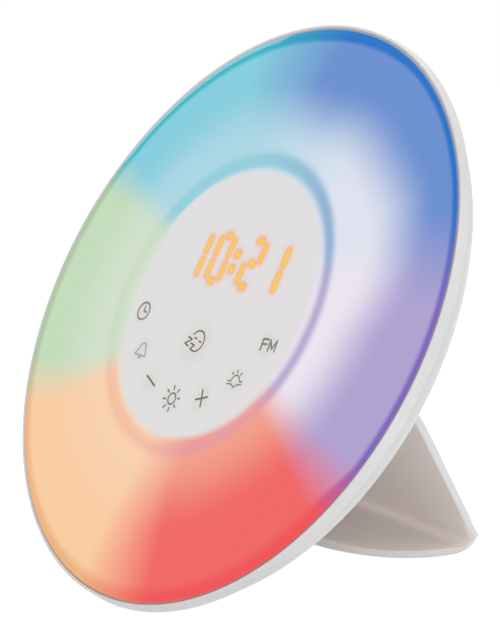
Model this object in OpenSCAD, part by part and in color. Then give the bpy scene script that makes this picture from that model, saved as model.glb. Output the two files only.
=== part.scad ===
// Sunrise alarm clock: a round lit disc that leans back on an open bent-plate stand.
// Row frame: +X to the clock's right as seen from the front, -Y the side that the face looks to,
// +Z up, origin on the table under the middle of the clock. Millimetres.
// Disc frame, inside in_disc(): x right, y up along the face, z out of the face. Depths below the
// face are negative z, and z = 0 is the plane in which the diffuser is widest.

/* [Disc] */
// Radius of the lit front diffuser where it is widest
diffuser_r = 92; // [90:0.5:94]
// Backward lean of the disc from upright, in degrees
lean = 29; // [27:0.5:31]
// How far the housing's lip stands out past the diffuser
lip_out = 1.5; // [1:0.1:2]
// Radius of the flat round face in the middle of the diffuser
face_r = 43.5; // [42:0.5:44]
// Width of the soft groove around the face
groove_w = 3.5; // [2.5:0.25:4]
// Depth of the soft groove around the face
groove_d = 0.6; // [0.3:0.1:0.8]
// Wall of the housing shell
wall = 2.2; // [2:0.1:2.4]
// Radius of the flat drum on the back
drum_r = 55.8; // [55:0.2:57]
// Depth of the domed back, from the lip to the drum
dome_d = 18; // [17:0.5:19]
// Height of the drum on the back
drum_d = 6.5; // [6:0.25:7]

/* [Stand] */
// Thickness of the stand's sloping plate and of its flange
plate_t = 2.4; // [2:0.1:3]
// Thickness of the stand's floor plate
floor_t = 2.8; // [2.4:0.1:3.2]
// Forward lean of the sloping plate from upright, in degrees
slope_lean = 37; // [36:0.5:39]
// Distance from the disc's centre back to the sharp rear corner of the stand
rear_reach = 74; // [72:0.5:78]
// Outer radius of the rounded rear corner
corner_r = 5; // [4:0.5:7]
// Half width of the floor plate where the rounded corner begins
floor_half = 39; // [37:0.5:40]
// Half width of the sloping plate at its foot
foot_half = 46.5; // [44:0.5:48]

/* [Display and keys] */
// Height of a digit between the middles of its top and bottom bars
digit_h = 14.8; // [14:0.1:15.5]
// Width of a digit between the middles of its side bars
digit_w = 6.6; // [6:0.1:7]
// Width of one bar of a digit
bar_w = 1.5; // [1.2:0.1:1.7]
// Radius of the arc on which the seven small touch keys lie
key_arc_r = 33.75; // [32:0.25:34]
// Angle between two neighbouring touch keys on the arc
key_step = 23.9; // [22:0.1:24]
// Radius of the finger dimple of a small touch key
key_r = 5.6; // [5:0.1:6]
// Radius of the finger dimple of the snooze key
snooze_r = 9.5; // [8:0.25:10]

/* [Light ring] */
// Number of colour LEDs around the face
led_count = 24; // [18:1:28]
// Radius of the ring of colour LEDs
led_ring_r = 62; // [61:0.5:62.5]

/* [Hidden] */
$fn = 96;
hair = 0.01;

// Disc placing. The lip's rear edge touches the table.
lip_r = diffuser_r + lip_out;
lip_back = 2.0;
disc_z = lip_r * cos(lean) + lip_back * sin(lean);
floor_gap = 0.4;

// Depth levels along the disc's axis
face_z = 0.7;
annulus_z = 1.0;
crown_z = 1.5;
edge_w = 3;
edge_h = 1.2;
inside_z = -0.9;
seam_z = -0.35;
lip_z = -0.8;
dome_z = -2.5;
drum_z = dome_z - dome_d;
back_z = drum_z - drum_d;
back_in_z = back_z + wall;
frame_back_z = -12.4;
board_back_z = -11.2;
board_top_z = -9.6;
flange_z = back_z - plate_t;

// The lip's front stands proud of the diffuser's edge and narrows towards its rounded crown
edge_c = diffuser_r - edge_w;
lip_in_r = diffuser_r + 0.12;
lip_front_r = lip_r - 0.5;
lip_front_z = 0.8;
lip_round = 0.35;

// The clock's front reach and rear reach from the disc's centre, so that y = 0 is midway
front_reach = (lip_front_r - lip_round) * sin(lean) + lip_front_z * cos(lean);
rear_angle = 90 - slope_lean;
corner_back = corner_r / tan(rear_angle / 2);
floor_top = floor_gap + floor_t;
slope_flare = 0.2;
nose_back = 33.5;
nose_start = 0.1;
floor_steps = 16;
corner_steps = 12;
slope_steps = 14;
rim_w = 0.4;
rim_drop = 0.5;
foot_rim = 2.4;
rim_line = [[17, 41], [39.6, 69]];
flange_inset = 0.1;
pad_places = [[30, 42], [60, 57]];
pad_r = 3;
rear_edge = rear_reach - tan(slope_lean) * floor_gap - corner_back + corner_r;
disc_y = (front_reach - rear_edge) / 2;

// Radii of the housing's inside and of the boards
mouth_r = diffuser_r - 2.6;
drum_in_r = drum_r - wall;
spigot_r = diffuser_r - 3.4;
dome_r0 = diffuser_r - 0.4;
frame_r = 77;
frame_hole_r = 37;
baffle_r = 44.4;
baffle_t = 1.8;
main_board_r = 43.5;
led_board_in_r = 47;
led_board_r = 76;

// Display and touch keys. The bars of a digit are in the order top, upper right, lower right,
// bottom, lower left, upper left, middle.
display_x = 2.2;
display_y = 13.3;
display_size = [50.2, 19, 7];
display_front_z = inside_z - 0.1;
bar_depth = 1;
digit_x = [-19.2, -7.7, 7.7, 19.2];
colon_dy = 2.4;
bars_of = [[1, 1, 1, 1, 1, 1, 0], [0, 1, 1, 0, 0, 0, 0], [1, 1, 0, 1, 1, 0, 1]];
shown = [1, 0, 2, 1];
key_arc_y = 2.0;
dimple_d = 0.4;
snooze_y = -13.4;
key_places = [for (i = [-3:3]) let (a = -90 + i * key_step)
    [key_arc_r * cos(a), key_arc_y + key_arc_r * sin(a)]];
touch_places = concat(key_places, [[0, snooze_y]]);

// Fasteners: places as polar angles at a radius, or as points
case_screw_r = 82.5;
case_screw_angles = [for (i = [0:5]) 30 + i * 60];
frame_screw_r = 66;
frame_screw_angles = [45, 135, 225, 315];
board_screw_r = 40.2;
board_screw_angles = [150, 270, 340];
stand_screw_places = [[-22, -14], [22, -14], [-26, -36], [26, -36]];
boss_deep = 5;
case_seat_z = -10.6;
boss_top_z = -9.05;

// Speaker, power inlet and backup cell places on the back
speaker_at = [0, 30];
speaker_r = 20;
speaker_screw_reach = 22.4;
speaker_screw_angles = [30, 150, 270];
jack_at = [34, 14];
jack_body = 9.2;
jack_bore_r = 2.9;
jack_post_dx = 10;
jack_board_z = -14.2;
jack_seat_z = -16.9;
pin_base_r = 2.2;
cell_at = [-34, 14];
cell_r = 10;
cell_h = 3.2;
cell_top_z = -20;
door_r = 12.8;
door_hole_r = 13.1;
lug_r = 14.4;
lug_arc = 36;
door_turn = 60;
well_r = 15;
well_floor_z = -18.8;
tab_top_z = -16.4;
ribbon_angle = 205;

// Wires: radius and number of sides
wire_r = 0.6;
wire_sides = 8;
wire_rings = 14;

// ---- shared shapes ----

// Places its children in the leaning disc's frame
module in_disc() {
    translate([0, disc_y, disc_z]) rotate([90 - lean, 0, 0]) children();
}

// Places its children at each angle of a ring, turned to face outwards
module on_ring(radius, angles) {
    for (a = angles) rotate([0, 0, a]) translate([radius, 0, 0]) children();
}

// Places its children at each point of a list
module at_points(points) {
    for (p = points) translate([p[0], p[1], 0]) children();
}

// Cylinder between two depths
module rod(radius, z0, z1) {
    translate([0, 0, z0]) cylinder(r = radius, h = z1 - z0);
}

// Ring between two depths
module ring(outer, inner, z0, z1) {
    difference() {
        rod(outer, z0, z1);
        rod(inner, z0 - 1, z1 + 1);
    }
}

// Block centred on the axis, between two depths
module slab(width, height, z0, z1) {
    translate([-width / 2, -height / 2, z0]) cube([width, height, z1 - z0]);
}

// Screw whose head sits under z = 0 on the rear side: the head goes down, the shank goes up
module screw_up(head_r, head_h, shank_r, shank_l) {
    difference() {
        rod(head_r, -head_h, 0);
        cross_recess(head_r, -head_h);
    }
    rod(shank_r, -hair, shank_l);
}

// Screw whose head sits above z = 0 on the front side, with the shank going down
module screw_down(head_r, head_h, shank_r, shank_l) {
    mirror([0, 0, 1]) screw_up(head_r, head_h, shank_r, shank_l);
}

// Cross slot in a screw's head, cut upwards from the level z0
module cross_recess(head_r, z0) {
    for (a = [0, 90]) rotate([0, 0, a]) slab(head_r * 1.2, head_r * 0.28, z0 - 1, z0 + 0.7);
}

// Points of a quarter ellipse from (c0 + a, z0) to (c0, z0 + b)
function quarter(c0, a, z0, b, steps) = [for (i = [0:steps])
    [c0 + a * cos(90 * i / steps), z0 + b * sin(90 * i / steps)]];

// Smooth step from 0 to 1
function ease(t) = t * t * (3 - 2 * t);

// Point on a cubic curve through its four control points
function curve_point(p, t) = pow(1 - t, 3) * p[0] + 3 * t * pow(1 - t, 2) * p[1]
    + 3 * t * t * (1 - t) * p[2] + pow(t, 3) * p[3];
function curve_heading(p, t) = let (d = 3 * pow(1 - t, 2) * (p[1] - p[0])
    + 6 * t * (1 - t) * (p[2] - p[1]) + 3 * t * t * (p[3] - p[2])) d / norm(d);

// Closed skin over rings of points. Each ring turns left-handed about the way that they follow.
module skin(rings) {
    sides = len(rings[0]);
    last = (len(rings) - 1) * sides;
    polyhedron([for (r = rings) for (p = r) p], concat(
        [[for (k = [sides - 1:-1:0]) k]],
        [[for (k = [0:sides - 1]) last + k]],
        [for (i = [0:len(rings) - 2]) for (k = [0:sides - 1]) for (half = [0, 1])
            let (m = (k + 1) % sides, a = i * sides, b = a + sides)
            half == 0 ? [a + k, a + m, b + m] : [a + k, b + m, b + k]]),
        convexity = 4);
}

// Round tube through the middle points of a path, with a ring of vertices at each point
module tube_along(points, headings, radius, sides, up) {
    skin([for (i = [0:len(points) - 1])
        let (side = cross(headings[i], up), u = side / norm(side), v = cross(u, headings[i]))
        [for (k = [0:sides - 1])
            points[i] + radius * (cos(360 * k / sides) * u + sin(360 * k / sides) * v)]]);
}

// Wire that follows a cubic curve
module wire(p) {
    steps = [for (i = [0:wire_rings]) i / wire_rings];
    tube_along([for (t = steps) curve_point(p, t)], [for (t = steps) curve_heading(p, t)],
        wire_r, wire_sides, [0.13, 0.31, 0.94]);
}

// ---- front ----

// Outer profile of the diffuser from the axis to its widest edge
function diffuser_front() = concat(
    [[0, face_z]],
    [for (i = [0:10]) let (t = i / 10) [face_r + groove_w * t,
        face_z + (annulus_z - face_z) * ease(t) - groove_d * pow(sin(180 * t), 2)]],
    [for (i = [1:8]) let (t = i / 8, r0 = face_r + groove_w) [r0 + (edge_c - r0) * t,
        annulus_z + (edge_h - annulus_z) * t + (crown_z - edge_h) * sin(180 * t)]],
    [for (i = [1:8]) [edge_c + edge_w * sin(90 * i / 8), edge_h * cos(90 * i / 8)]]);

// Shallow round finger dimple in the face
module dimple(radius) {
    ball_r = (radius * radius + dimple_d * dimple_d) / (2 * dimple_d);
    translate([0, 0, face_z + ball_r - dimple_d]) sphere(r = ball_r, $fn = 180);
}

// Milky front moulding: lit annulus, soft groove, flat face with dimples, spigot and bosses
module front_diffuser() color([0.93, 0.93, 0.95]) in_disc() {
    difference() {
        union() {
            rotate_extrude($fn = 180) polygon(concat(diffuser_front(), [[diffuser_r - 0.3, seam_z],
                [spigot_r, seam_z], [spigot_r, -4.5], [spigot_r - 2, -4.5], [spigot_r - 2, inside_z],
                [0, inside_z]]));
            on_ring(case_screw_r, case_screw_angles) rod(3, boss_top_z + 0.05, inside_z + hair);
        }
        at_points(key_places) dimple(key_r);
        translate([0, snooze_y, 0]) dimple(snooze_r);
        on_ring(case_screw_r, case_screw_angles) rod(1.1, boss_top_z - 1, -2.4);
    }
}

// ---- rear housing ----

// Solid of the housing's outside: lip, dome and drum
module housing_outside() {
    rotate_extrude($fn = 180) polygon(concat(
        [[0, seam_z], [mouth_r + 1.1, seam_z], [mouth_r + 1.3, lip_z], [lip_in_r, lip_z],
            [lip_in_r, lip_front_z - 0.15], [lip_in_r + 0.15, lip_front_z]],
        [for (i = [0:4]) [lip_front_r - lip_round * (1 - sin(22.5 * i)),
            lip_front_z - lip_round * (1 - cos(22.5 * i))]],
        [[lip_r, -lip_back], [lip_r - 0.4, -lip_back - 0.4]],
        quarter(drum_r, dome_r0 - drum_r, dome_z, -dome_d, 24),
        [for (i = [0:4]) [drum_r - 1.2 + 1.2 * cos(22.5 * i), back_z + 1.2 - 1.2 * sin(22.5 * i)]],
        [[0, back_z]]));
}

// Solid of the housing's inside
module housing_inside() {
    rotate_extrude($fn = 180) polygon(concat(
        [[0, 1], [mouth_r, 1]],
        quarter(drum_in_r, mouth_r - drum_in_r, dome_z + 0.2, -dome_d + wall, 24),
        [[drum_in_r, back_in_z], [0, back_in_z]]));
}

// Speaker grille: rings of round holes through the back
module grille_holes() {
    translate([speaker_at[0], speaker_at[1], 0]) {
        rod(0.9, back_z - 1, back_in_z + 1);
        for (k = [1:4]) on_ring(3.5 * k, [for (i = [0:6 * k - 1]) 360 * i / (6 * k)])
            rod(0.9, back_z - 1, back_in_z + 1);
    }
}

// Sector of a ring, centred on angle 0
module ring_sector(outer, inner, arc, z0, z1) {
    intersection() {
        ring(outer, inner, z0, z1);
        translate([0, 0, z0]) linear_extrude(height = z1 - z0)
            polygon([[0, 0], [2 * outer * cos(arc / 2), -2 * outer * sin(arc / 2)],
                [2 * outer * cos(arc / 2), 2 * outer * sin(arc / 2)]]);
    }
}

// White rear housing: lip, domed back, drum, grille, cell well, inlet and screw bosses
module rear_housing() color([0.9, 0.9, 0.9]) in_disc() {
    difference() {
        union() {
            difference() {
                housing_outside();
                housing_inside();
            }
            intersection() {
                on_ring(case_screw_r, case_screw_angles) rod(4.2, back_z, boss_top_z);
                housing_outside();
            }
            intersection() {
                on_ring(frame_screw_r, frame_screw_angles) rod(3, back_z, frame_back_z);
                housing_outside();
            }
            translate([cell_at[0], cell_at[1], 0]) {
                ring(well_r + 1.4, well_r, back_in_z - hair, well_floor_z);
                rod(well_r + 1.4, well_floor_z, well_floor_z + 1.2);
                ring(cell_r + 1.6, cell_r + 0.5, -22.4, well_floor_z + hair);
            }
            at_points([for (a = speaker_screw_angles) speaker_at + speaker_screw_reach * [cos(a), sin(a)]])
                rod(2.2, back_in_z - hair, back_in_z + 2);
            at_points([for (s = [-1, 1]) jack_at + [s * jack_post_dx, 0]])
                rod(2.6, back_in_z - hair, jack_board_z);
        }
        on_ring(case_screw_r, case_screw_angles) {
            rod(1.6, back_z - 1, boss_top_z + 1);
            rod(3.1, back_z - 1, case_seat_z);
        }
        on_ring(frame_screw_r, frame_screw_angles) rod(1.1, -16.4, frame_back_z + 1);
        grille_holes();
        translate([cell_at[0], cell_at[1], 0]) {
            rod(door_hole_r, back_z - 1, back_in_z + 0.5);
            at_points(tab_places) slab(2.4, 2.4, well_floor_z - 1, well_floor_z + 2);
            for (a = [0, 120, 240]) rotate([0, 0, a + door_turn])
                ring_sector(lug_r + 0.4, door_hole_r - 1, lug_arc + 8, back_z - 1, back_in_z + 0.5);
        }
        translate([jack_at[0], jack_at[1], 0]) rod(4.3, back_z - 1, back_in_z + 1);
        at_points(stand_screw_places) rod(1.6, back_z - 1, back_in_z + 1);
        at_points([for (a = speaker_screw_angles) speaker_at + speaker_screw_reach * [cos(a), sin(a)]])
            rod(0.9, back_in_z - 1, back_in_z + 3);
        at_points([for (s = [-1, 1]) jack_at + [s * jack_post_dx, 0]])
            rod(0.9, jack_board_z - 6, jack_board_z + 1);
    }
}

// ---- stand ----

// Row-frame place, as [y, z], of a point of the disc's middle plane
function on_disc(up, out) = [disc_y + up * sin(lean) - out * cos(lean),
    disc_z + up * cos(lean) + out * sin(lean)];

// Place up the disc where a plane of depth `out` meets the sloping plane set in by `inset`
function slope_meets(out, inset) = (rear_reach - inset / cos(slope_lean) + out * cos(lean)
    - tan(slope_lean) * (disc_z + out * sin(lean))) / (sin(lean) + tan(slope_lean) * cos(lean));

// Place up the disc where a plane of depth `out` meets the level z
function level_meets(out, z) = (z - disc_z - out * sin(lean)) / cos(lean);

// Side outline of the stand above the level `low`, with its slope set in and its rear corner rounded
module stand_outline(out, inset, low, radius) {
    corner_y = disc_y + rear_reach - inset / cos(slope_lean) - tan(slope_lean) * low;
    centre = [corner_y - radius / tan(rear_angle / 2), low + radius];
    turn = 90 + slope_lean;
    polygon(concat(
        [on_disc(level_meets(out, low), out)],
        [for (i = [0:corner_steps]) let (a = -90 + turn * i / corner_steps)
            centre + radius * [cos(a), sin(a)]],
        [on_disc(slope_meets(out, inset), out)]));
}

// Extrudes a side outline across the clock
module across(width) {
    translate([-width / 2, 0, 0]) rotate([90, 0, 90]) linear_extrude(height = width) children();
}

// Place up the disc of a row-frame point [y, z], and the drum's half width at that place
function up_of(p) = (p[0] - disc_y) * sin(lean) + (p[1] - disc_z) * cos(lean);
function half_width(p) = sqrt(pow(drum_r, 2) - pow(up_of(p), 2));

// Cross section of the bent plate between an outer and an inner point, each [y, z]. Its edges
// are square to the plate, with a bevel `rim` wide along the inner side.
function plate_ring(outer, inner, w, rim = rim_w) =
    let (low = inner + (outer - inner) * rim_drop / norm(outer - inner), top_w = w - rim)
    [[w, outer[0], outer[1]], [w, low[0], low[1]], [top_w, inner[0], inner[1]],
        [-top_w, inner[0], inner[1]], [-w, low[0], low[1]], [-w, outer[0], outer[1]]];

// Width of the floor plate's bevel, whose inner edge is the straight rim line
function floor_rim(w, back) = max(rim_w, w - rim_line[0][0]
    - (back - rim_line[0][1]) * (rim_line[1][0] - rim_line[0][0]) / (rim_line[1][1] - rim_line[0][1]));

// Floor plate, rounded corner and sloping plate in one. The floor plate has a round nose, and
// the sloping plate widens upwards until it is as wide as the drum.
module bent_plate() {
    corner = [disc_y + rear_edge - corner_r, floor_gap + corner_r];
    corner_turn = 90 + slope_lean;
    plan = [[0, nose_back], [12, nose_back], [35, 42], [floor_half, corner[0] - disc_y]];
    corner_rim = floor_rim(floor_half, corner[0] - disc_y);
    foot = corner + corner_r * [cos(slope_lean), sin(slope_lean)];
    head_z = back_z - flange_inset;
    head = on_disc(slope_meets(head_z, 0), head_z);
    head_in = on_disc(slope_meets(head_z, plate_t), head_z);
    inwards = -plate_t * [cos(slope_lean), sin(slope_lean)];
    skin(concat(
        [for (i = [0:floor_steps - 1])
            let (p = curve_point(plan, nose_start + (1 - nose_start) * i / floor_steps), y = disc_y + p[1])
            plate_ring([y, floor_gap], [y, floor_top], p[0], floor_rim(p[0], p[1]))],
        [for (i = [0:corner_steps]) let (k = i / corner_steps, a = -90 + corner_turn * k,
            thick = floor_t + (plate_t - floor_t) * k, way = [cos(a), sin(a)])
            plate_ring(corner + corner_r * way, corner + (corner_r - thick) * way,
                floor_half + (foot_half - floor_half) * k, corner_rim + (foot_rim - corner_rim) * k)],
        [for (i = [1:slope_steps - 1]) let (outer = foot + (head - foot) * i / slope_steps)
            plate_ring(outer, outer + inwards,
                min(half_width(outer), foot_half + slope_flare * (outer[1] - foot[1])),
                max(rim_w, foot_rim * (1 - i / 2)))],
        [plate_ring(head, head_in, half_width(head))]));
}

// One bent plate: flange against the drum, sloping plate and floor plate, open at both sides.
// The flange's edges lie a hair inside the faces of the other two.
module stand() color([0.88, 0.87, 0.86]) difference() {
    union() {
        bent_plate();
        intersection() {
            across(2 * drum_r) stand_outline(back_z, flange_inset, floor_gap + flange_inset, corner_r);
            in_disc() rod(drum_r - flange_inset, flange_z, back_z);
        }
        in_disc() at_points(stand_screw_places) rod(3.4, back_z - boss_deep, back_z - 1);
    }
    in_disc() at_points(stand_screw_places) rod(1.1, back_z - boss_deep + 0.8, back_z + 1);
    for (p = pad_places) pad(p, floor_gap + 0.8);
}

// Rubber strip under the floor plate: place is [length, distance behind the disc's centre]
module pad(place, top) {
    half = place[0] / 2 - pad_r;
    translate([0, disc_y + place[1], 0]) {
        for (s = [-1, 1]) translate([s * half, 0, 0]) cylinder(r = pad_r, h = top);
        slab(2 * half, 2 * pad_r, 0, top);
    }
}

module stand_pads() color([0.35, 0.35, 0.36]) for (p = pad_places) pad(p, floor_gap + 0.8);

// ---- inner frame, boards and light ring ----

// White chassis ring with the baffle wall that parts the light ring from the display
module inner_frame() color([0.95, 0.95, 0.93]) in_disc() difference() {
    union() {
        ring(frame_r, frame_hole_r, frame_back_z, board_back_z);
        ring(baffle_r + baffle_t, baffle_r, frame_back_z, inside_z - 0.05);
        ring(frame_r, led_board_r + 0.2, frame_back_z, board_top_z);
        on_ring(board_screw_r, board_screw_angles) rod(2.4, -15.4, frame_back_z + hair);
    }
    on_ring(frame_screw_r, frame_screw_angles) rod(1.5, -20, 0);
    on_ring(board_screw_r, board_screw_angles) rod(0.9, -15, 0);
    rotate([0, 0, ribbon_angle]) translate([baffle_r, 0, 0]) slab(8, 13, board_back_z + 0.3, -7.6);
}

module led_board() color([0.92, 0.94, 0.92]) in_disc() difference() {
    ring(led_board_r, led_board_in_r, board_back_z, board_top_z);
    on_ring(frame_screw_r, frame_screw_angles) rod(1.5, -20, 0);
}

led_angles = [for (i = [0:led_count - 1]) (i + 0.5) * 360 / led_count];

// Square colour LED packages with a round lens
module rgb_leds() color([0.98, 0.98, 0.9]) in_disc() on_ring(led_ring_r, led_angles) {
    slab(5, 5, board_top_z, board_top_z + 1.4);
    rod(1.9, board_top_z + 1.4 - hair, board_top_z + 1.7);
}

// Small white LED packages outside the colour ring
module white_leds() color([1, 0.93, 0.6]) in_disc() on_ring(led_ring_r + 9, led_angles)
    slab(2.8, 3.5, board_top_z, board_top_z + 0.8);

// White film over the LED board, with a window for each LED
module reflector_film() color([0.99, 0.99, 0.99]) in_disc() difference() {
    ring(led_board_r - 0.2, led_board_in_r + 0.2, board_top_z + 0.05, board_top_z + 0.45);
    on_ring(led_ring_r, led_angles) slab(5.6, 5.6, -12, 0);
    on_ring(led_ring_r + 9, led_angles) slab(3.4, 4.1, -12, 0);
    on_ring(frame_screw_r, frame_screw_angles) rod(3.1, -12, 0);
    rotate([0, 0, ribbon_angle]) translate([50, 0, 0]) slab(9, 13.6, -12, 0);
}

module main_board() color([0.1, 0.42, 0.25]) in_disc() difference() {
    rod(main_board_r, board_back_z, board_top_z);
    on_ring(board_screw_r, board_screw_angles) rod(1.2, -20, 0);
    translate([display_x, display_y, 0]) at_points(pin_places) rod(0.45, -20, 0);
}

// ---- display ----

// Bar of a digit: a flat hexagon along x
module bar(length) {
    h = bar_w / 2;
    l = length / 2;
    polygon([[-l, 0], [-l + h, -h], [l - h, -h], [l, 0], [l - h, h], [-l + h, h]]);
}

// The bars of one digit whose state is `lit`, in the order a b c d e f g
module digit(states, lit) {
    gap = 0.35;
    across_l = digit_w - gap;
    down_l = digit_h / 2 - gap;
    x = digit_w / 2;
    y = digit_h / 4;
    places = [[0, 2 * y, 0], [x, y, 90], [x, -y, 90], [0, -2 * y, 0], [-x, -y, 90], [-x, y, 90],
        [0, 0, 0]];
    for (i = [0:6]) if (states[i] == lit)
        translate([places[i][0], places[i][1]]) rotate(places[i][2])
            bar(places[i][2] == 0 ? across_l : down_l);
}

// All bars of the display with the given state; the colon counts as lit
module digits(lit) {
    for (i = [0:3]) translate([digit_x[i], 0]) digit(bars_of[shown[i]], lit);
    if (lit == 1) for (s = [-1, 1]) translate([0, s * colon_dy]) circle(r = 0.9, $fn = 32);
}

module at_display() {
    in_disc() translate([display_x, display_y, 0]) children();
}

pin_places = [for (s = [-1, 1]) for (i = [0:5]) [(i - 2.5) * 7.62, s * 7.6]];

module display_module() color([0.13, 0.13, 0.14]) at_display() difference() {
    slab(display_size[0], display_size[1], display_front_z - display_size[2], display_front_z);
    translate([0, 0, display_front_z - bar_depth]) linear_extrude(height = 2 * bar_depth) {
        digits(0);
        digits(1);
    }
}

module lit_segments() color([1, 0.62, 0.12]) at_display()
    translate([0, 0, display_front_z - bar_depth]) linear_extrude(height = bar_depth) digits(1);

module unlit_segments() color([0.75, 0.73, 0.7]) at_display()
    translate([0, 0, display_front_z - bar_depth]) linear_extrude(height = bar_depth) digits(0);

module display_pins() color([0.8, 0.8, 0.78]) at_display() at_points(pin_places)
    rod(0.3, board_back_z - 1.4, display_front_z - display_size[2]);

// White frame that keeps stray light away from the digits
module display_shroud() color([0.96, 0.96, 0.94]) at_display() difference() {
    slab(display_size[0] + 3.2, display_size[1] + 3.2, board_top_z, inside_z - 0.05);
    slab(display_size[0] + 0.4, display_size[1] + 0.4, board_top_z - 1, 0);
}

// ---- touch keys ----

spring_r = 2.6;
spring_wire_r = 0.3;
spring_turns = 4.5;
spring_steps = 48;

// Coil spring between the main board and the inside of the face
module touch_spring() {
    z0 = board_top_z + spring_wire_r;
    rise = inside_z - board_top_z - 2 * spring_wire_r - 0.1;
    turn = 360 * spring_turns;
    pitch = rise / (turn * PI / 180);
    steps = [for (i = [0:spring_steps]) i / spring_steps];
    tube_along([for (t = steps) [spring_r * cos(turn * t), spring_r * sin(turn * t), z0 + rise * t]],
        [for (t = steps) let (d = [-spring_r * sin(turn * t), spring_r * cos(turn * t), pitch]) d / norm(d)],
        spring_wire_r, 6, [0, 0, 1]);
}

module touch_springs() color([0.78, 0.74, 0.6]) in_disc() at_points(touch_places) touch_spring();

// ---- parts on the back of the main board ----

chip_z = board_back_z;

module mcu_chip() color([0.1, 0.1, 0.11]) in_disc() translate([-14, -12, 0]) {
    difference() {
        slab(10, 10, chip_z - 1.5, chip_z - 0.1);
        translate([-3.6, 3.6, 0]) rod(0.5, chip_z - 2, chip_z - 1.4);
    }
    for (a = [0:90:270]) rotate([0, 0, a]) for (i = [-5:5]) translate([5.4, i * 0.8, 0]) {
        slab(1.2, 0.3, chip_z - 0.8, chip_z - 0.6);
        translate([0.5, 0, 0]) slab(0.3, 0.3, chip_z - 0.7, chip_z);
    }
}

module fm_tuner() color([0.8, 0.8, 0.82]) in_disc() translate([14, -20, 0]) difference() {
    slab(17, 14, chip_z - 3, chip_z);
    for (s = [-1, 1]) translate([s * 5, 0, 0]) rod(0.8, chip_z - 4, chip_z - 2.6);
}

module amp_chip() color([0.12, 0.12, 0.13]) in_disc() translate([18, 0, 0]) {
    slab(5, 6.2, chip_z - 1.6, chip_z - 0.1);
    for (s = [-1, 1]) for (i = [-1.5:1.5]) translate([s * 3, i * 1.27, 0])
        slab(1.4, 0.4, chip_z - 0.5, chip_z);
}

// Upright electrolytic capacitors
module capacitors() color([0.12, 0.16, 0.35]) in_disc()
    at_points([[-6, -29], [2, -31], [-14, -25]]) difference() {
        rod(3.1, chip_z - 7, chip_z);
        for (a = [0, 90]) rotate([0, 0, a]) slab(4.6, 0.35, chip_z - 7.5, chip_z - 6.8);
    }

module crystal() color([0.82, 0.82, 0.8]) in_disc() translate([-2, -14, 0]) {
    for (s = [-1, 1]) translate([s * 2.6, 0, 0]) rod(1.8, chip_z - 3.2, chip_z);
    slab(5.2, 3.6, chip_z - 3.2, chip_z);
}

// White wire headers on the back of the board and the two flat-cable sockets on the front
module board_connectors() color([0.94, 0.93, 0.88]) in_disc() {
    at_points([[8, 1.5], [-20, 0], [26, -9]]) difference() {
        slab(7, 5, chip_z - 4.5, chip_z);
        slab(5.8, 3.6, chip_z - 5, chip_z - 1);
    }
    rotate([0, 0, ribbon_angle]) for (r = [39.2, 52.2]) translate([r, 0, 0])
        slab(3.6, 12.4, board_top_z, board_top_z + 1.6);
}

// ---- speaker ----

module at_speaker() {
    in_disc() translate([speaker_at[0], speaker_at[1], 0]) children();
}

cloth_z = back_in_z + 0.3;
gasket_z = cloth_z + 0.7;
rim_z = gasket_z + 1.2;
pole_z = -17.2;

module grille_cloth() color([0.25, 0.25, 0.26]) at_speaker() rod(19.4, back_in_z, cloth_z);

module speaker_gasket() color([0.18, 0.18, 0.18]) at_speaker() ring(19.6, 17.6, cloth_z, gasket_z);

// Pressed steel basket with four windows
module speaker_frame() color([0.35, 0.36, 0.38]) at_speaker() difference() {
    union() {
        ring(speaker_r, 17.4, gasket_z, rim_z);
        rotate_extrude() polygon([[19, rim_z - hair], [17.8, rim_z - hair], [10.6, pole_z - 1],
            [10.6, pole_z], [12.2, pole_z]]);
        ring(12, 5.9, pole_z - 1, pole_z);
    }
    on_ring(15.2, [45, 135, 225, 315]) slab(7, 9, -22, pole_z - 1.4);
}

module speaker_magnet() color([0.3, 0.3, 0.31]) at_speaker() {
    ring(9.5, 5.9, pole_z, pole_z + 3);
    rod(9.5, pole_z + 3 - hair, pole_z + 4);
    rod(4.4, pole_z - 1, pole_z + 3);
}

// Rolled rubber ring that carries the cone's edge
module speaker_surround() color([0.1, 0.1, 0.1]) at_speaker() rotate_extrude()
    polygon(concat([[17.3, gasket_z + 0.1], [17.3, gasket_z + 0.7]],
        [for (i = [0:8]) [15.9 + 1.2 * cos(22.5 * i), gasket_z + 0.7 + 0.9 * sin(22.5 * i)]],
        [[14.7, gasket_z + 0.1]],
        [for (i = [0:8]) [15.9 - 0.8 * cos(22.5 * i), gasket_z + 0.1 + 0.7 * sin(22.5 * i)]]));

// Cone, dust cap and voice coil, which move as one
module speaker_cone() color([0.16, 0.16, 0.17]) at_speaker() {
    rotate_extrude() polygon([[14.5, gasket_z + 0.1], [14.5, gasket_z + 0.6], [5.5, -19.6],
        [5.5, pole_z + 0.8], [4.9, pole_z + 0.8], [4.9, -20.2]]);
    rotate_extrude() polygon(concat([[0, -20.6], [4.95, -20.1]],
        [for (i = [0:6]) [5.4 * cos(15 * i), -20.3 - 1.4 * sin(15 * i)]]));
}

module speaker_screws() color([0.7, 0.7, 0.72]) in_disc()
    at_points([for (a = speaker_screw_angles) speaker_at + speaker_screw_reach * [cos(a), sin(a)]])
        translate([0, 0, rim_z]) screw_down(3.3, 1.3, 0.85, 3);

// ---- power inlet ----

module at_jack() {
    in_disc() translate([jack_at[0], jack_at[1], 0]) children();
}

// Moulded socket of the power inlet, open to the back
module dc_jack() color([0.08, 0.08, 0.09]) at_jack() difference() {
    union() {
        slab(jack_body, jack_body, back_in_z, jack_board_z);
        rod(4, back_z + 0.4, back_in_z + hair);
    }
    rod(jack_bore_r, back_z, jack_seat_z);
    rod(pin_base_r, jack_seat_z - 1, jack_seat_z + 0.7);
}

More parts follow.
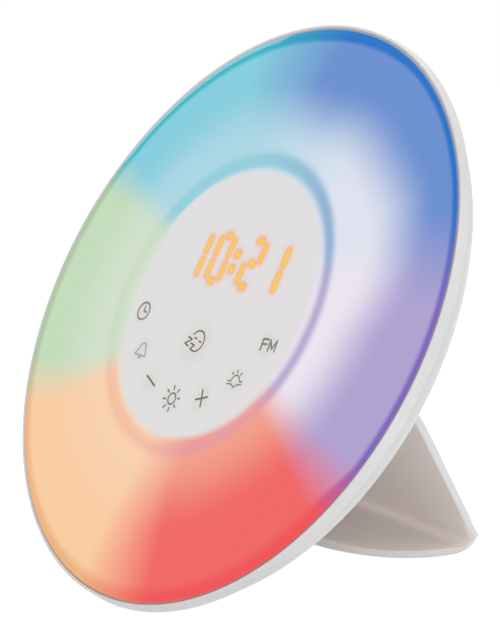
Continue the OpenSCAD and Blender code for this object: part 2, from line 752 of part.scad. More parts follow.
module jack_pin() color([0.85, 0.83, 0.75]) at_jack() {
    rod(1, -25.6, jack_seat_z);
    rod(pin_base_r, jack_seat_z - hair, jack_seat_z + 0.69);
}

module jack_board() color([0.1, 0.42, 0.25]) at_jack() difference() {
    slab(25.4, 13, jack_board_z, jack_board_z + 1.2);
    for (s = [-1, 1]) translate([s * jack_post_dx, 0, 0]) rod(1.2, -20, 0);
}

module jack_screws() color([0.75, 0.75, 0.77]) at_jack() for (s = [-1, 1])
    translate([s * jack_post_dx, 0, jack_board_z + 1.2]) screw_down(1.9, 0.5, 0.85, 5);

// ---- backup cell ----

module at_cell() {
    in_disc() translate([cell_at[0], cell_at[1], 0]) children();
}

module coin_cell() color([0.8, 0.81, 0.82]) at_cell() {
    rod(cell_r, cell_top_z - cell_h, cell_top_z - 0.9);
    rod(cell_r - 1, cell_top_z - 0.9 - hair, cell_top_z);
}

clip_r = cell_r + 0.2;
tab_places = [[6.3, 0], [0, clip_r]];

// Flat spring under the cell and the clip at its side, each with a solder tab
module battery_contacts() color([0.85, 0.8, 0.6]) at_cell() {
    slab(13, 3.6, well_floor_z - 0.3, well_floor_z);
    rotate([90, 0, 0]) translate([0, 0, -1.8]) linear_extrude(height = 3.6)
        polygon([[-4, well_floor_z - 0.3], [-0.8, cell_top_z + 0.02], [0.8, cell_top_z + 0.02],
            [4, well_floor_z - 0.3], [3.4, well_floor_z - 0.3], [0.6, cell_top_z + 0.3],
            [-0.6, cell_top_z + 0.3], [-3.4, well_floor_z - 0.3]]);
    translate([tab_places[0][0], 0, 0]) slab(0.35, 1.8, well_floor_z - 0.3, tab_top_z);
    rotate([0, 0, 90]) translate([clip_r, 0, 0]) {
        slab(0.35, 3, -22.8, well_floor_z);
        slab(0.35, 1.8, well_floor_z - hair, tab_top_z);
    }
}

// Twist-lock door with a coin slot and three lugs
module battery_door() color([0.89, 0.89, 0.89]) at_cell() difference() {
    union() {
        rod(door_r, back_z, back_z + 1.8);
        ring(door_r, door_r - 1, back_z + 1.8 - hair, back_in_z + 1.2);
        rod(9, back_z + 1.8 - hair, cell_top_z - cell_h - 0.2);
        for (a = [0, 120, 240]) rotate([0, 0, a])
            ring_sector(lug_r, door_r - 0.5, lug_arc, back_in_z + 0.2, back_in_z + 1.2);
    }
    slab(15, 1.8, back_z - 1, back_z + 1);
}

// ---- fasteners of the case ----

module case_screws() color([0.78, 0.78, 0.8]) in_disc() on_ring(case_screw_r, case_screw_angles)
    translate([0, 0, case_seat_z]) screw_up(2.8, 1.5, 1.05, 6.6);

module frame_screws() color([0.78, 0.78, 0.8]) in_disc() on_ring(frame_screw_r, frame_screw_angles)
    translate([0, 0, board_top_z]) screw_down(2.7, 1.5, 1.05, 6.2);

module board_screws() color([0.78, 0.78, 0.8]) in_disc() on_ring(board_screw_r, board_screw_angles)
    translate([0, 0, board_top_z]) screw_down(2, 1.3, 0.85, 4.8);

module stand_screws() color([0.78, 0.78, 0.8]) in_disc() at_points(stand_screw_places)
    translate([0, 0, back_in_z]) screw_down(2.8, 1.6, 1.05, 6.2);

// ---- cables inside the case ----

// Flat cable from the main board through the gap in the baffle to the LED board
module led_ribbon() color([0.9, 0.9, 0.88]) in_disc() rotate([0, 0, ribbon_angle]) rotate([90, 0, 0])
    translate([0, 0, -5]) linear_extrude(height = 10) polygon([[41, -9.3], [42.6, -8.3], [49, -8.3],
        [50.4, -9.3], [50.4, -9], [49.1, -8], [42.5, -8], [41, -9]]);

module speaker_leads() color([0.75, 0.12, 0.1]) in_disc() for (s = [-1, 1])
    wire([[12 + s * 0.9, 17 + s * 0.9, -20.6], [14 + s, 12, -20], [9 + s, 3, -21],
        [8 + s * 0.9, 1.5, -12.6]]);

module jack_leads() color([0.1, 0.1, 0.1]) in_disc() for (s = [-1, 1])
    wire([[34 + s * 2.5, 8.4, -14.8], [34 + s * 2, 4, -18], [26 + s * 0.9, -8.9, -22.5],
        [26 + s * 0.9, -9, -12.6]]);

module battery_leads() color([0.15, 0.2, 0.7]) in_disc() {
    wire([[-26.85, 14, -16.9], [-25, 10, -14], [-19.1, -1, -21], [-19.1, 0, -12.6]]);
    wire([[-33.4, 23.3, -16.9], [-30, 4, -14], [-20.9, 0.1, -21], [-20.9, 0, -12.6]]);
}

front_diffuser();
rear_housing();
stand();
stand_pads();
inner_frame();
led_board();
rgb_leds();
white_leds();
reflector_film();
main_board();
display_module();
lit_segments();
unlit_segments();
display_pins();
display_shroud();
touch_springs();
mcu_chip();
fm_tuner();
amp_chip();
capacitors();
crystal();
board_connectors();
speaker_gasket();
grille_cloth();
speaker_frame();
speaker_magnet();
speaker_surround();
speaker_cone();
speaker_screws();
dc_jack();
jack_pin();
jack_board();
jack_screws();
coin_cell();
battery_contacts();
battery_door();
case_screws();
frame_screws();
board_screws();
stand_screws();
led_ribbon();
speaker_leads();
jack_leads();
battery_leads();
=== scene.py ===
"""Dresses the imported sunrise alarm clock: a round lit disc on an open bent-plate stand.

Lengths are written in millimetres and angles in degrees, unless said otherwise. The disc's frame has
x to the right along the face, t up along the face and n out of the face, from the disc's middle.
"""

import math

import bmesh
import bpy
from mathutils import Euler, Matrix, Vector
from mathutils.bvhtree import BVHTree


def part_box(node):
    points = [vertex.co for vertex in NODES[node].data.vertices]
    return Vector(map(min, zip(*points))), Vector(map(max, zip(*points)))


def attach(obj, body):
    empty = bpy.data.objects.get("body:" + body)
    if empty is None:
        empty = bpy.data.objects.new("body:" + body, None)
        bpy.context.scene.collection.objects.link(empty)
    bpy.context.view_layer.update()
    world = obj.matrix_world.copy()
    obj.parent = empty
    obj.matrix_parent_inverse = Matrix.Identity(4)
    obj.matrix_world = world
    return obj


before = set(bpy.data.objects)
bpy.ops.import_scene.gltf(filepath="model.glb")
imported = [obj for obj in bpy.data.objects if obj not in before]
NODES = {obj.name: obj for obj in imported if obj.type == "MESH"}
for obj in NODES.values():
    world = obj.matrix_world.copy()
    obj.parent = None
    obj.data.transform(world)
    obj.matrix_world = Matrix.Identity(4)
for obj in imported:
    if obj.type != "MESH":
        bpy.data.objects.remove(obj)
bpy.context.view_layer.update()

# ---- the disc's frame, worked out from the frame ----

MM = 0.001
LEAN = math.radians(29)
OUT = Vector((0, -math.cos(LEAN), math.sin(LEAN)))
LED_BOARD_MIDDLE = -10.4
DIFFUSER_R = 92
FACE_R = 43.5
FACE_N = 0.7


def middle(node):
    """Middle of a CAD node's box, in metres."""
    low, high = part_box(node)
    return (low + high) / 2


DISC = middle("led_board") - LED_BOARD_MIDDLE * MM * OUT
DISC_TILT = Euler((math.pi / 2 - LEAN, 0, 0))
DISC_FRAME = Matrix.Translation(DISC) @ DISC_TILT.to_matrix().to_4x4() @ Matrix.Scale(MM, 4)


# ---- camera ----

CAMERA_FROM_DISC = Vector((334.9, -231.95, 75.05)) * MM
CAMERA_AZIMUTH = 53.8
CAMERA_ELEVATION = 11.2
SENSOR_WIDTH = 36
LENS = 77.56


def make_camera():
    """Camera at the place, angle and focal length that frame the clock."""
    data = bpy.data.cameras.new("camera")
    data.sensor_width = SENSOR_WIDTH
    data.lens = LENS
    camera = bpy.data.objects.new("camera", data)
    camera.location = DISC + CAMERA_FROM_DISC
    camera.rotation_euler = (math.radians(90 - CAMERA_ELEVATION), 0, math.radians(CAMERA_AZIMUTH))
    bpy.context.scene.collection.objects.link(camera)
    bpy.context.scene.camera = camera


make_camera()


# ---- shader building ----


def feed(tree, socket, value):
    """Links a socket to the input, or sets the input's own value."""
    if isinstance(value, bpy.types.NodeSocket):
        tree.links.new(value, socket)
    else:
        socket.default_value = value


def add_node(tree, kind, *inputs, **settings):
    """Adds a node and feeds its inputs in order, leaving out those that are None."""
    node = tree.nodes.new("ShaderNode" + kind)
    for key, value in settings.items():
        setattr(node, key, value)
    for socket, value in zip(node.inputs, inputs):
        if value is not None:
            feed(tree, socket, value)
    return node


class Shader:
    """A material with one Principled shader, and short calls that add nodes to it."""

    def __init__(self, name, colour=(0.8, 0.8, 0.8), roughness=0.4, metallic=0.0):
        self.material = bpy.data.materials.new(name)
        self.material.use_nodes = True
        self.tree = self.material.node_tree
        self.surface = self.tree.nodes["Principled BSDF"]
        self.put("Base Color", (*linear(colour), 1))
        self.put("Roughness", roughness)
        self.put("Metallic", metallic)

    def put(self, socket, value):
        """Sets or links an input of the Principled shader."""
        feed(self.tree, self.surface.inputs[socket], value)

    def add(self, kind, *inputs, out=0, **settings):
        """Adds a node and returns one of its outputs."""
        return add_node(self.tree, kind, *inputs, **settings).outputs[out]

    def math(self, operation, *values, clamp=False):
        """Result of a Math node."""
        return self.add("Math", *values, operation=operation, use_clamp=clamp)

    def vector(self, operation, *values, out=0):
        """Result of a Vector Math node."""
        return self.add("VectorMath", *values, operation=operation, out=out)

    def mix(self, share, a, b):
        """Colour that goes from a to b as share goes from 0 to 1."""
        node = add_node(self.tree, "Mix", share, data_type="RGBA")
        # The node's inputs 6 and 7 and its output 2 are the ones for colours
        for number, colour in ((6, a), (7, b)):
            is_socket = isinstance(colour, bpy.types.NodeSocket)
            feed(self.tree, node.inputs[number], colour if is_socket else (*linear(colour), 1))
        return node.outputs[2]

    def step(self, value, low, high):
        """Smooth step: 0 at low, 1 at high. Low may be the larger."""
        return self.add("MapRange", value, low, high, 0.0, 1.0, interpolation_type="SMOOTHSTEP")

    def ramp(self, value, stops):
        """Colour ramp through (place, colour or grey) stops."""
        node = add_node(self.tree, "ValToRGB", value)
        elements = node.color_ramp.elements
        while len(elements) > 1:
            elements.remove(elements[-1])
        for i, (place, colour) in enumerate(stops):
            element = elements[0] if i == 0 else elements.new(place)
            element.position = place
            grey = isinstance(colour, (int, float))
            element.color = (*(colour,) * 3, 1) if grey else (*linear(colour), 1)
        return node.outputs[0]

    def place(self):
        """Object-space place in millimetres, for textures."""
        return self.vector("SCALE", self.add("TexCoord", out="Object"), None, None, 1 / MM)

    def on_disc(self):
        """Place of the shaded point across the disc, in millimetres, with its n set to 0."""
        coords = self.add("TexCoord", out="Object")
        to_disc = (tuple(DISC), tuple(DISC_TILT), (MM, MM, MM))
        moved = self.add("Mapping", coords, *to_disc, vector_type="TEXTURE")
        return self.vector("MULTIPLY", moved, (1, 1, 0))

    def split(self, flat):
        """The x and t of a place across the disc."""
        node = add_node(self.tree, "SeparateXYZ", flat)
        return node.outputs[0], node.outputs[1]

    def noise(self, scale, detail, place=None):
        """Noise from 0 to 1 with about `scale` waves per millimetre."""
        source = place if place is not None else self.place()
        return self.add("TexNoise", source, None, scale, detail)

    def bump(self, height, depth):
        """Bump from a 0 to 1 height, `depth` millimetres deep."""
        node = add_node(self.tree, "Bump")
        node.inputs["Strength"].default_value = 1
        node.inputs["Distance"].default_value = depth * MM
        feed(self.tree, node.inputs["Height"], height)
        self.put("Normal", node.outputs[0])


def linear(colour):
    """Scene-linear values of an sRGB colour."""
    return tuple(c / 12.92 if c <= 0.04045 else ((c + 0.055) / 1.055) ** 2.4 for c in colour[:3])


# ---- the lit disc ----

# The six lights round the disc. start is the angle where the zone starts near the outer edge and
# half is half the width of that blend. pale_start and pale_half are the same for the pale glow near
# the ring. drift says how far the start moves round towards the ring. body is the zone's colour,
# edge its colour at the thin outer edge, pale the one in the glow and ring the one on the ring.
ZONES = {
    "blue": dict(start=16, half=9, pale_start=14, pale_half=8, drift=9,
                 body=(0.42, 0.565, 0.82), edge=(0.14, 0.45, 0.78),
                 pale=(0.885, 0.897, 0.95), ring=(0.55, 0.70, 0.83)),
    "cyan": dict(start=97, half=14, pale_start=72, pale_half=29, drift=0,
                 body=(0.525, 0.81, 0.875), edge=(0.20, 0.725, 0.775),
                 pale=(0.68, 0.85, 0.905), ring=(0.58, 0.815, 0.865)),
    "green": dict(start=157, half=5, pale_start=157, pale_half=6, drift=-5,
                  body=(0.77, 0.87, 0.74), edge=(0.67, 0.78, 0.63),
                  pale=(0.825, 0.89, 0.80), ring=(0.80, 0.87, 0.77)),
    "orange": dict(start=208.5, half=6, pale_start=208.5, pale_half=6, drift=9,
                   body=(0.99, 0.805, 0.635), edge=(0.935, 0.70, 0.49),
                   pale=(0.98, 0.825, 0.695), ring=(0.96, 0.755, 0.645)),
    "red": dict(start=277, half=11, pale_start=279, pale_half=12, drift=0,
                body=(0.95, 0.405, 0.405), edge=(0.945, 0.33, 0.34),
                pale=(0.95, 0.635, 0.55), ring=(0.915, 0.61, 0.63)),
    "violet": dict(start=334.5, half=5, pale_start=336, pale_half=6, drift=-4,
                   body=(0.69, 0.64, 0.83), edge=(0.50, 0.39, 0.75),
                   pale=(0.935, 0.908, 0.952), ring=(0.72, 0.665, 0.82)),
}
# The plain face, the ring at the groove, and how many millimetres the pale glow takes to fade in
FACE_WHITE = (0.888, 0.880, 0.880)
# Darker colour painted into the finger dimples: painted shade of the shallow hollows
DIMPLE_PAINTED_SHADE = (0.868, 0.857, 0.84)
RING_R = 47.0
RING_STRENGTH = 0.97
GLOW_FADE = 25
TABLE_UNIT = 100
# Tables round the disc, as pairs of an angle and a length in table units of 100 mm: where the
# pale glow starts, where the thin outer edge starts, how softly it starts, where it ends, where the
# plain face starts and half the width of the ring. The last table pairs an angle and a colour that
# is painted in a thin band at the diffuser's rim: painted shade where it meets the housing's lip,
# lighter towards the top and top left as a painted highlight.
GLOW_REACH = [(0, 0.77), (15, 0.835), (30, 0.855), (45, 0.81), (60, 0.79), (75, 0.745), (96, 0.765),
              (160, 0.78), (262, 0.77), (285, 0.725), (315, 0.725), (335, 0.75), (360, 0.77)]
EDGE_START = [(0, 0.902), (30, 0.901), (45, 0.899), (60, 0.894), (78, 0.878), (90, 0.871),
              (150, 0.874), (180, 0.877), (230, 0.886), (262, 0.884), (280, 0.886), (320, 0.880),
              (331, 0.880), (339, 0.902), (360, 0.902)]
EDGE_SOFT = [(0, 0.008), (30, 0.007), (65, 0.007), (90, 0.011), (150, 0.014), (200, 0.019),
             (325, 0.020), (340, 0.009), (360, 0.009)]
# The edge ends short of the rim only between about 96 and 158 degrees, so that the lighter glow past
# it paints a highlight on the rim's outer roll at the top left
EDGE_END = [(0, 0.94), (96, 0.94), (104, 0.896), (152, 0.896), (158, 0.94), (360, 0.94)]
FACE_EDGE = [(0, 0.433), (90, 0.435), (120, 0.438), (148, 0.434), (165, 0.412), (205, 0.412),
             (222, 0.434), (290, 0.435), (315, 0.442), (330, 0.442), (350, 0.433), (360, 0.433)]
RING_HALF = [(0, 0.0265), (25, 0.0245), (45, 0.0265), (75, 0.027), (95, 0.024), (250, 0.0225),
             (290, 0.024), (320, 0.0265), (345, 0.0265), (360, 0.0265)]
SEAM_SHADE_AND_HIGHLIGHT = [(0.0, (0.56, 0.52, 0.52)), (30, (0.66, 0.63, 0.64)), (60, (0.72, 0.70, 0.71)),
        (105, (0.76, 0.76, 0.74)), (145, (0.76, 0.75, 0.73)), (165, (0.66, 0.63, 0.61)),
        (250, (0.66, 0.62, 0.61)), (320, (0.54, 0.48, 0.47)), (360, (0.56, 0.52, 0.52))]
# Radii where that band of painted shade and highlight starts and ends
SEAM_SHADE_START = 91.2
SEAM_SHADE_END = 91.9
DRIFT_LIMIT = 20
FACE_SOFTNESS = 1.3
EDGE_END_SOFTNESS = 0.5
# How far the starts of the zones wander, as a share of a turn, and the waves of that per millimetre
WANDER = 0.008
WANDER_SCALE = 0.05

# The touch keys: seven small ones on an arc, and the snooze key
KEY_ARC_R = 33.75
KEY_ARC_T = 2.0
KEY_STEP = 23.9
SMALL_KEY_R = 5.6
SNOOZE_AT = (0, -13.4)
SNOOZE_R = 9.5


def key_place(i):
    """Middle of the small key that lies i steps from the lowest one."""
    angle = math.radians(-90 + i * KEY_STEP)
    return KEY_ARC_R * math.cos(angle), KEY_ARC_T + KEY_ARC_R * math.sin(angle)


def zone_ramp(shader, turn, colour, start="start", half="half"):
    """Ramp round the disc that holds one colour in each zone and blends at the starts."""
    zones = list(ZONES.values())
    before = zones[-1]
    stops = [(0.0, before[colour])]
    for zone in zones:
        stops.append(((zone[start] - zone[half]) / 360, before[colour]))
        stops.append(((zone[start] + zone[half]) / 360, zone[colour]))
        before = zone
    return shader.ramp(turn, stops)


def around(shader, turn, table):
    """Ramp round the disc through pairs of an angle and a colour or number."""
    return shader.ramp(turn, [(angle / 360, value) for angle, value in table])


def length_around(shader, turn, table):
    """Length that changes round the disc, in millimetres."""
    return shader.math("MULTIPLY", around(shader, turn, table), TABLE_UNIT)


def turn_of(shader, flat):
    """Angle of a place across the disc as a share of a turn, from 0 at its right side."""
    x, t = shader.split(flat)
    angle = shader.math("ARCTAN2", t, x)
    return shader.math("FRACT", shader.math("ADD", shader.math("DIVIDE", angle, 2 * math.pi), 1.0))


def drifted(shader, turn, radius):
    """The turn that the zones are read at, which drifts and wanders."""
    inward = shader.math("DIVIDE", shader.math("SUBTRACT", DIFFUSER_R, radius), DIFFUSER_R - FACE_R)
    drifts = [(zone["start"], 0.5 + zone["drift"] / (2 * DRIFT_LIMIT)) for zone in ZONES.values()]
    drift = shader.math("SUBTRACT", around(shader, turn, [(0, 0.5), *drifts, (360, 0.5)]), 0.5)
    shift = shader.math("MULTIPLY", shader.math("MULTIPLY", drift, inward), -2 * DRIFT_LIMIT / 360)
    noise = shader.math("SUBTRACT", shader.noise(WANDER_SCALE, 1), 0.5)
    wander = shader.math("MULTIPLY", noise, WANDER)
    moved = shader.math("ADD", shader.math("ADD", turn, shift), wander)
    return shader.math("FRACT", shader.math("ADD", moved, 1.0))


def glow_colour(shader, flat):
    """Colour of the lit annulus, with its ring and the plain face inside it."""
    radius = shader.vector("LENGTH", flat, out="Value")
    turn = turn_of(shader, flat)
    zone_turn = drifted(shader, turn, radius)

    body = zone_ramp(shader, zone_turn, "body")
    edge = zone_ramp(shader, zone_turn, "edge")
    pale = zone_ramp(shader, zone_turn, "pale", "pale_start", "pale_half")
    rings = zone_ramp(shader, zone_turn, "ring", "pale_start", "pale_half")
    reach = length_around(shader, turn, GLOW_REACH)
    depth = shader.math("DIVIDE", shader.math("SUBTRACT", reach, radius), GLOW_FADE)
    colour = shader.mix(shader.step(depth, 0, 1), body, pale)

    past_edge = shader.math("SUBTRACT", radius, length_around(shader, turn, EDGE_START))
    softness = length_around(shader, turn, EDGE_SOFT)
    rim = shader.step(shader.math("DIVIDE", past_edge, softness), -1, 1)
    # Past its end the edge gives way to the lighter glow: a painted highlight at the top left
    past_end = shader.math("SUBTRACT", radius, length_around(shader, turn, EDGE_END))
    outer = shader.step(past_end, EDGE_END_SOFTNESS, -EDGE_END_SOFTNESS)
    colour = shader.mix(shader.math("MULTIPLY", rim, outer), colour, edge)
    # A thin band at the rim where the diffuser meets the lip: painted shade, lighter towards the top
    # as a painted highlight
    painted_rim_band = around(shader, turn, SEAM_SHADE_AND_HIGHLIGHT)
    colour = shader.mix(shader.step(radius, SEAM_SHADE_START, SEAM_SHADE_END), colour, painted_rim_band)

    ring_half = length_around(shader, turn, RING_HALF)
    off_ring = shader.math("DIVIDE", shader.math("SUBTRACT", radius, RING_R), ring_half)
    steepness = shader.math("POWER", shader.math("ABSOLUTE", off_ring), 3.0)
    ring = shader.math("EXPONENT", shader.math("MULTIPLY", steepness, -1.0))
    colour = shader.mix(shader.math("MULTIPLY", ring, RING_STRENGTH), colour, rings)
    past_face = shader.math("SUBTRACT", radius, length_around(shader, turn, FACE_EDGE))
    face = shader.step(past_face, FACE_SOFTNESS, -FACE_SOFTNESS)
    # The plain face, darkened in the finger dimples with painted shade
    return shader.mix(face, colour, shader.mix(in_dimples(shader, flat), FACE_WHITE, DIMPLE_PAINTED_SHADE))


def in_dimples(shader, flat):
    """Mask of the shade painted into the finger dimples: 0 on the flat face, 1 in each dimple's
    middle.
    """
    keys = [(key_place(i), SMALL_KEY_R) for i in range(-3, 4)] + [(SNOOZE_AT, SNOOZE_R)]
    nearest = None
    for place, radius in keys:
        away = shader.vector("DISTANCE", flat, (*place, 0), out="Value")
        part = shader.math("DIVIDE", away, radius)
        nearest = part if nearest is None else shader.math("MINIMUM", nearest, part)
    return shader.step(nearest, 1.0, 0.3)


# The display's bars as they show on the face: the middle of the display, the middles of its digits
# and their rise along t, the bars of each digit by letter, and half the length of a bar's core.
DISPLAY_AT = (2.2, 13.3)
DIGIT_X = (-19.3, -7.5, 8.3, 19.3)
DIGIT_RISE = (0.0, 0.15, 0.4, 0.35)
DIGIT_W = 6.6
DIGIT_H = 14.8
COLON_DY = 2.4
SHOWN = ("bc", "abcdef", "abdeg", "bc")
BAR_HALF = 2.25
CROSSBAR_HALF = 0.8
DOT_HALF = 0.35
# From a bar's core to the end of its glow: the light's colour and how much of it covers the face
BAR_GLOW_REACH = 3.6
BAR_MERGE = 0.35
BAR_LIGHT = [(0.0, (1.0, 0.83, 0.30)), (0.12, (0.99, 0.785, 0.33)), (0.26, (0.975, 0.71, 0.42)),
             (0.40, (0.965, 0.70, 0.55)), (0.60, (0.95, 0.79, 0.73)), (1.0, (0.9, 0.86, 0.84))]
BAR_COVER = [(0.0, 1.0), (0.22, 0.94), (0.38, 0.66), (0.62, 0.34), (1.0, 0.0)]
BAR_PLACES = {
    "a": (0, DIGIT_H / 2), "d": (0, -DIGIT_H / 2), "g": (0, 0),
    "b": (DIGIT_W / 2, DIGIT_H / 4), "c": (DIGIT_W / 2, -DIGIT_H / 4),
    "e": (-DIGIT_W / 2, -DIGIT_H / 4), "f": (-DIGIT_W / 2, DIGIT_H / 4),
}


def lit_bars():
    """Middle and half size of each lit bar's core, with the two dots of the colon."""
    bars = []
    for digit_x, rise, letters in zip(DIGIT_X, DIGIT_RISE, SHOWN):
        for letter in letters:
            x, t = BAR_PLACES[letter]
            half = (CROSSBAR_HALF, 0) if letter in "adg" else (0, BAR_HALF)
            bars.append(((DISPLAY_AT[0] + digit_x + x, DISPLAY_AT[1] + rise + t), half))
    for side in (-1, 1):
        bars.append(((DISPLAY_AT[0], DISPLAY_AT[1] + side * COLON_DY), (DOT_HALF, DOT_HALF)))
    return bars


def add_digits(shader, flat, colour):
    """Paints the light of the display's bars, as it shows through the milky wall."""
    distance = None
    for place, half in lit_bars():
        away = shader.vector("ABSOLUTE", shader.vector("SUBTRACT", flat, (*place, 0)))
        past_core = shader.vector("SUBTRACT", away, (*half, 0))
        beyond = shader.vector("MAXIMUM", past_core, (0, 0, 0))
        length = shader.vector("LENGTH", beyond, out="Value")
        if distance is None:
            distance = length
        else:
            distance = shader.math("SMOOTH_MIN", distance, length, BAR_MERGE)
    near = shader.math("DIVIDE", distance, BAR_GLOW_REACH, clamp=True)
    return shader.mix(shader.ramp(near, BAR_COVER), colour, shader.ramp(near, BAR_LIGHT))


# Shares of the colour that the diffuser gives off and that it reflects, and its colour's grain
EMITTED = 0.755
REFLECTED = 0.26
GRAIN = 0.012


def diffuser_material():
    """Milky plastic lit from behind, with the display's light in its face."""
    shader = Shader("milky_glow", roughness=0.5)
    flat = shader.on_disc()
    colour = add_digits(shader, flat, glow_colour(shader, flat))
    grain = shader.math("MULTIPLY", shader.math("SUBTRACT", shader.noise(0.9, 3), 0.5), GRAIN)
    colour = shader.vector("ADD", colour, grain)
    shader.put("Emission Color", colour)
    shader.put("Emission Strength", EMITTED)
    shader.put("Base Color", shader.vector("SCALE", colour, None, None, REFLECTED))
    shader.put("IOR", 1.45)
    shader.put("Specular IOR Level", 0.13)
    shader.bump(shader.noise(2.4, 2), 0.012)
    return shader.material


# ---- plastics, metals and the rest ----


def shade(colour, factor):
    """The colour made darker or lighter by a factor."""
    return tuple(min(1, c * factor) for c in colour)


def plastic(name, colour, roughness=0.38, variation=0.02, milky=0.0, side=None):
    """Moulded plastic: faint cloudiness, and the fine spark texture of a mould.

    A milky plastic lets some light through, and `side` is a second tone for faces that look along x,
    which paints light and shade on the plastic by which way a face looks.
    """
    shader = Shader(name, colour, roughness)
    cloud = shader.step(shader.noise(0.04, 3), 0.35, 0.65)
    tone = shader.mix(cloud, colour, shade(colour, 1 - variation))
    # Faces that look along x take the `side` tone: painted light and shade by which way a face looks
    if side:
        normal = shader.add("TexCoord", out="Normal")
        facing = shader.vector("DOT_PRODUCT", normal, (1, 0, 0), out="Value")
        tone = shader.mix(shader.step(shader.math("ABSOLUTE", facing), 0.6, 0.9), tone, side)
    shader.put("Base Color", tone)
    if milky:
        shader.put("Subsurface Weight", milky)
        shader.put("Subsurface Radius", (1.0, 0.8, 0.72))
        shader.put("Subsurface Scale", 4 * MM)
    shader.bump(shader.noise(3.2, 3), 0.02)
    return shader.material


def metal(name, colour, roughness=0.32):
    """Plated or bare metal with fine drawn streaks."""
    shader = Shader(name, colour, roughness, 1.0)
    stretched = shader.vector("MULTIPLY", shader.place(), (0.6, 0.6, 9))
    streaks = shader.noise(1.0, 3.0, stretched)
    shader.put("Base Color", shader.mix(streaks, colour, shade(colour, 0.86)))
    shader.bump(streaks, 0.01)
    return shader.material


def circuit_board(name, colour, copper):
    """Solder mask over a pattern of traces."""
    shader = Shader(name, colour, 0.3)
    cells = shader.add("TexVoronoi", shader.on_disc(), None, 0.22, feature="DISTANCE_TO_EDGE")
    trace = shader.step(cells, 0.07, 0.05)
    shader.put("Base Color", shader.mix(trace, colour, copper))
    shader.bump(trace, 0.03)
    return shader.material


def rubber(name, colour):
    """Dull rubber or foam with a speckle."""
    shader = Shader(name, colour, 0.75)
    speckle = shader.noise(1.6, 4)
    shader.put("Base Color", shader.mix(speckle, colour, shade(colour, 0.8)))
    shader.put("Specular IOR Level", 0.25)
    shader.bump(speckle, 0.04)
    return shader.material


def woven(name, colour):
    """Cloth of crossing threads, with painted shade where they dip."""
    shader = Shader(name, colour, 0.9)
    across = shader.split(shader.on_disc())
    warp, weft = (shader.math("SINE", shader.math("MULTIPLY", along, 9.0)) for along in across)
    lift = shader.step(shader.math("MULTIPLY", warp, weft), -0.6, 0.8)
    # Where the threads dip they are painted darker: painted shade in the hollows of the weave
    shader.put("Base Color", shader.mix(lift, shade(colour, 0.5), colour))
    shader.bump(lift, 0.1)
    return shader.material


def glowing(name, colour, strength):
    """Lit lens or bar, a little uneven."""
    shader = Shader(name, colour, 0.3)
    warm = shader.mix(shader.noise(0.8, 2), colour, shade(colour, 1.1))
    shader.put("Base Color", warm)
    shader.put("Emission Color", warm)
    shader.put("Emission Strength", strength)
    return shader.material


HOUSING_WHITE = (0.902, 0.899, 0.90)
# The stand's broad faces are painted lighter and warmer than the housing's plastic, to lift the
# shade inside the stand, while its faces that look along x keep a plainer white: painted light
STAND_PAINTED_LIGHT_WHITE = (0.965, 0.932, 0.913)
STAND_CUT_WHITE = (0.918, 0.912, 0.914)

